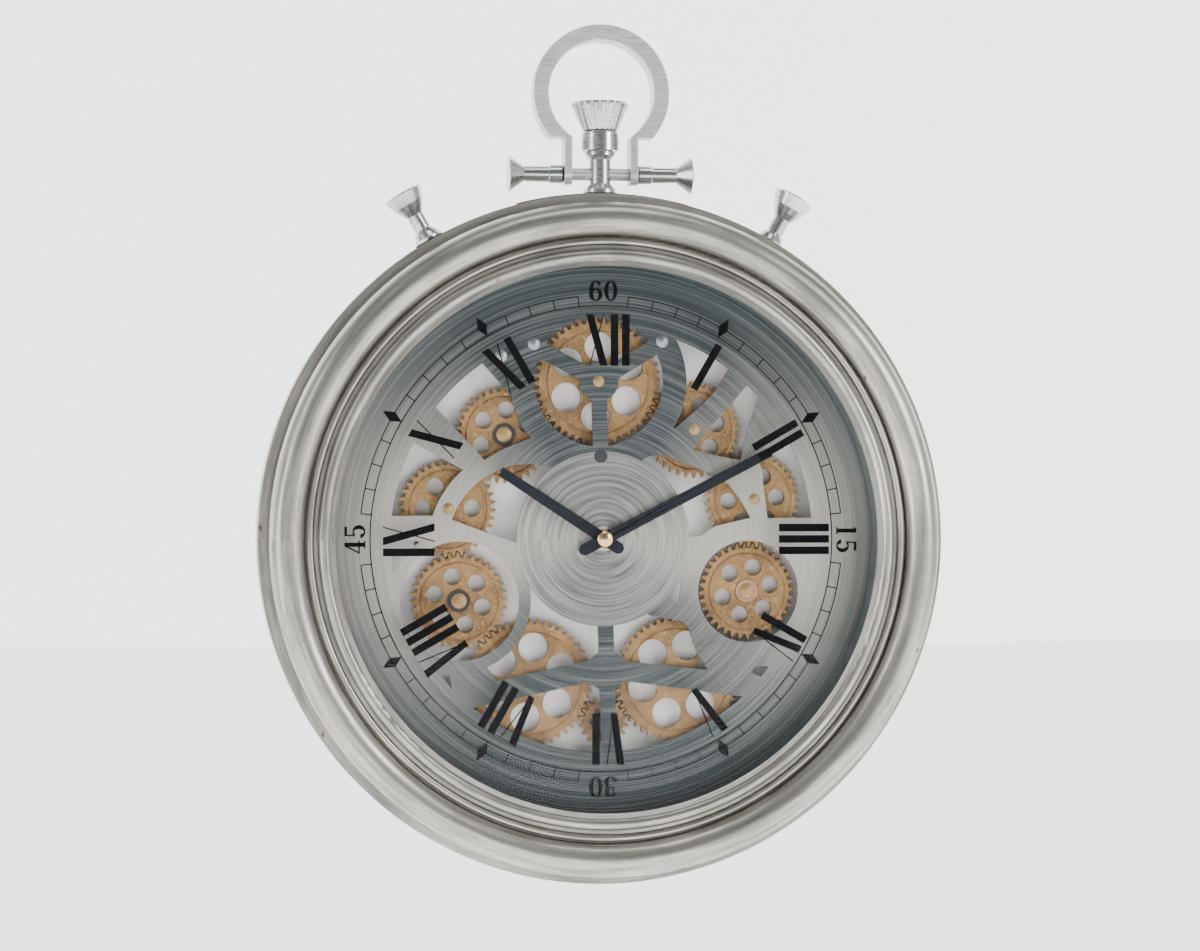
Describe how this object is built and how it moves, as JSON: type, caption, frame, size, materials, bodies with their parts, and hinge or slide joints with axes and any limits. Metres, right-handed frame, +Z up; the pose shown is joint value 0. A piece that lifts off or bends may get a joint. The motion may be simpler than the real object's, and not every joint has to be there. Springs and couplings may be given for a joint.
{
  "type": "wall clock",
  "caption": "Round pocket-watch style wall clock with a pierced steel dial, turning bronze gears, roman numerals on the glass, a crown with bow and two side pushers.",
  "frame": {"origin": "on the axis of the hands, in the plane of the wall that the back rim touches", "axes": "+Z up to twelve o'clock and the bow, +X to three o'clock, +Y into the wall, so the dial faces -Y"},
  "size_m": [0.4, 0.065, 0.5],
  "materials": {
    "case_nickel": "antique brushed nickel over sheet steel",
    "bright_aluminium": "turned and brushed aluminium",
    "dial_steel": "brushed in a fan, the disc in circles",
    "inner_wall": "satin, dark",
    "gear_bronze": "antique bronze, speckled",
    "pin_brass": "polished brass",
    "post_steel": "plain steel",
    "copper": "reddish copper",
    "clear_glass": "clear flat glass",
    "black_print": "black printing ink",
    "black_enamel": "blue-black enamel",
    "black_plastic": "moulded black plastic",
    "white_plastic": "moulded white plastic",
    "white_panel": "white painted sheet",
    "black_rubber": "black rubber",
    "cell_jacket": "plain printed jacket",
    "motor_steel": "zinc plated",
    "lead_insulation": "red insulation"
  },
  "bodies": {
    "root": {"back_panel": "white_panel", "battery_holder": "black_plastic", "boss_washers": "black_plastic", "case_brackets": "post_steel", "case_shell": "case_nickel", "copper_washer": "copper", "cross_bar": "bright_aluminium", "cross_bar_ends": "bright_aluminium", "crown_knob": "bright_aluminium", "crown_stem": "bright_aluminium", "dial_pillars": "post_steel", "dial_plate": "dial_steel", "dial_screws": "post_steel", "drive_bush": "black_plastic", "front_glass": "clear_glass", "gear_posts": "post_steel", "glass_gasket": "black_rubber", "glass_retaining_ring": "inner_wall", "hanger_bracket": "post_steel", "hour_numerals": "black_print", "inner_bezel": "case_nickel", "left_pusher": "bright_aluminium", "minute_numbers": "black_print", "minute_track": "black_print", "motor_batteries": "cell_jacket", "motor_can": "motor_steel", "motor_housing": "black_plastic", "motor_leads": "lead_insulation", "movement_battery": "cell_jacket", "movement_cover": "black_plastic", "movement_housing": "black_plastic", "movement_nut": "pin_brass", "movement_washer": "post_steel", "outer_bezel": "case_nickel", "panel_screws": "post_steel", "post_heads": "pin_brass", "right_pusher": "bright_aluminium", "saddle_plate": "case_nickel", "stem_gaskets": "black_rubber", "stem_nuts": "post_steel", "switch_body": "black_plastic"},
    "top_gear": {"top_gear": "gear_bronze"},
    "upper_left_gear": {"upper_left_gear": "gear_bronze"},
    "left_gear": {"left_gear": "gear_bronze"},
    "lower_left_gear": {"lower_left_gear": "gear_bronze"},
    "bottom_left_gear": {"bottom_left_gear": "gear_bronze"},
    "bottom_small_gear": {"bottom_small_gear": "gear_bronze"},
    "bottom_right_gear": {"bottom_right_gear": "gear_bronze"},
    "upper_right_gear": {"upper_right_gear": "gear_bronze"},
    "right_gear": {"right_gear": "gear_bronze"},
    "lower_right_gear": {"lower_right_gear": "gear_bronze"},
    "drive_pinion": {"drive_pinion": "pin_brass"},
    "minute_hand": {"minute_hand": "black_enamel", "minute_shaft": "pin_brass", "hands_cap": "pin_brass", "setting_knob": "black_plastic"},
    "hour_hand": {"hour_hand": "black_enamel", "hour_tube": "white_plastic"},
    "bow": {"bow": "bright_aluminium"},
    "switch_slider": {"switch_slider": "white_plastic"}
  },
  "joints": [
    {"name": "top_gear_spin", "type": "hinge", "parent": "root", "child": "top_gear", "pos_m": [-0.00264, -0.025, 0.09156], "axis": [0, 1, 0], "continuous": true},
    {"name": "upper_left_gear_spin", "type": "hinge", "parent": "root", "child": "upper_left_gear", "pos_m": [-0.05744, -0.025, 0.06049], "axis": [0, 1, 0], "continuous": true},
    {"name": "left_gear_spin", "type": "hinge", "parent": "root", "child": "left_gear", "pos_m": [-0.09043, -0.025, 0.01774], "axis": [0, 1, 0], "continuous": true},
    {"name": "lower_left_gear_spin", "type": "hinge", "parent": "root", "child": "lower_left_gear", "pos_m": [-0.08371, -0.025, -0.03584], "axis": [0, 1, 0], "continuous": true},
    {"name": "bottom_left_gear_spin", "type": "hinge", "parent": "root", "child": "bottom_left_gear", "pos_m": [-0.04258, -0.025, -0.08357], "axis": [0, 1, 0], "continuous": true},
    {"name": "bottom_small_gear_spin", "type": "hinge", "parent": "root", "child": "bottom_small_gear", "pos_m": [0.00118, -0.025, -0.10669], "axis": [0, 1, 0], "continuous": true},
    {"name": "bottom_right_gear_spin", "type": "hinge", "parent": "root", "child": "bottom_right_gear", "pos_m": [0.04429, -0.025, -0.08236], "axis": [0, 1, 0], "continuous": true},
    {"name": "upper_right_gear_spin", "type": "hinge", "parent": "root", "child": "upper_right_gear", "pos_m": [0.05387, -0.025, 0.0637], "axis": [0, 1, 0], "continuous": true},
    {"name": "right_gear_spin", "type": "hinge", "parent": "root", "child": "right_gear", "pos_m": [0.08926, -0.025, 0.02291], "axis": [0, 1, 0], "continuous": true},
    {"name": "lower_right_gear_spin", "type": "hinge", "parent": "root", "child": "lower_right_gear", "pos_m": [0.08563, -0.025, -0.03097], "axis": [0, 1, 0], "continuous": true},
    {"name": "drive_pinion_spin", "type": "hinge", "parent": "root", "child": "drive_pinion", "pos_m": [-0.00138, -0.025, 0.04808], "axis": [0, 1, 0], "continuous": true},
    {"name": "minute_hand_turn", "type": "hinge", "parent": "root", "child": "minute_hand", "pos_m": [0, -0.04, 0], "axis": [0, 1, 0], "continuous": true},
    {"name": "hour_hand_turn", "type": "hinge", "parent": "root", "child": "hour_hand", "pos_m": [0, -0.038, 0], "axis": [0, 1, 0], "continuous": true},
    {"name": "bow_swing", "type": "hinge", "parent": "root", "child": "bow", "pos_m": [0, -0.019, 0.213], "axis": [1, 0, 0], "range_deg": [-90, 90]},
    {"name": "switch_slide", "type": "slide", "parent": "root", "child": "switch_slider", "axis": [0, 0, 1], "range_m": [0, 0.004]}
  ],
  "couplings": [
    {"joint": "upper_left_gear_spin", "follows": "top_gear_spin", "ratio": -1.3333},
    {"joint": "left_gear_spin", "follows": "top_gear_spin", "ratio": 1.3333},
    {"joint": "lower_left_gear_spin", "follows": "top_gear_spin", "ratio": -1.3333},
    {"joint": "bottom_left_gear_spin", "follows": "top_gear_spin", "ratio": 1},
    {"joint": "bottom_small_gear_spin", "follows": "top_gear_spin", "ratio": -2.6667},
    {"joint": "bottom_right_gear_spin", "follows": "top_gear_spin", "ratio": 1},
    {"joint": "upper_right_gear_spin", "follows": "top_gear_spin", "ratio": -1.3333},
    {"joint": "right_gear_spin", "follows": "top_gear_spin", "ratio": 1.3333},
    {"joint": "lower_right_gear_spin", "follows": "top_gear_spin", "ratio": -1.3333},
    {"joint": "drive_pinion_spin", "follows": "top_gear_spin", "ratio": -4.8},
    {"joint": "hour_hand_turn", "follows": "minute_hand_turn", "ratio": 0.083333}
  ]
}
